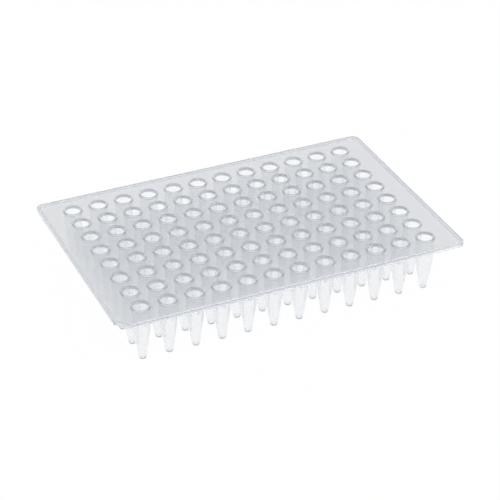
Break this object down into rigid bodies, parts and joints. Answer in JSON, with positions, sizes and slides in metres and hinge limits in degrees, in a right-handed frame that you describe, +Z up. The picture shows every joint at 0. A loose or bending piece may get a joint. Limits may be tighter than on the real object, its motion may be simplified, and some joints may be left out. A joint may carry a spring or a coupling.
{
  "type": "well plate",
  "caption": "Thin moulded sample plate: a flat deck with one cut corner carries a grid of tapered thin-walled wells, each open at a raised rim.",
  "frame": {"origin": "on the surface that the plate stands on, under the centre of the well grid and of the deck", "axes": "+X along a row of wells and the deck's long side, +Y from the side with the cut corner to the back, +Z up out of the wells' mouths"},
  "size_m": [0.12, 0.08, 0.0196],
  "materials": {
    "natural_polypropylene": "satin"
  },
  "bodies": {
    "root": {"well_plate": "natural_polypropylene"}
  },
  "joints": []
}
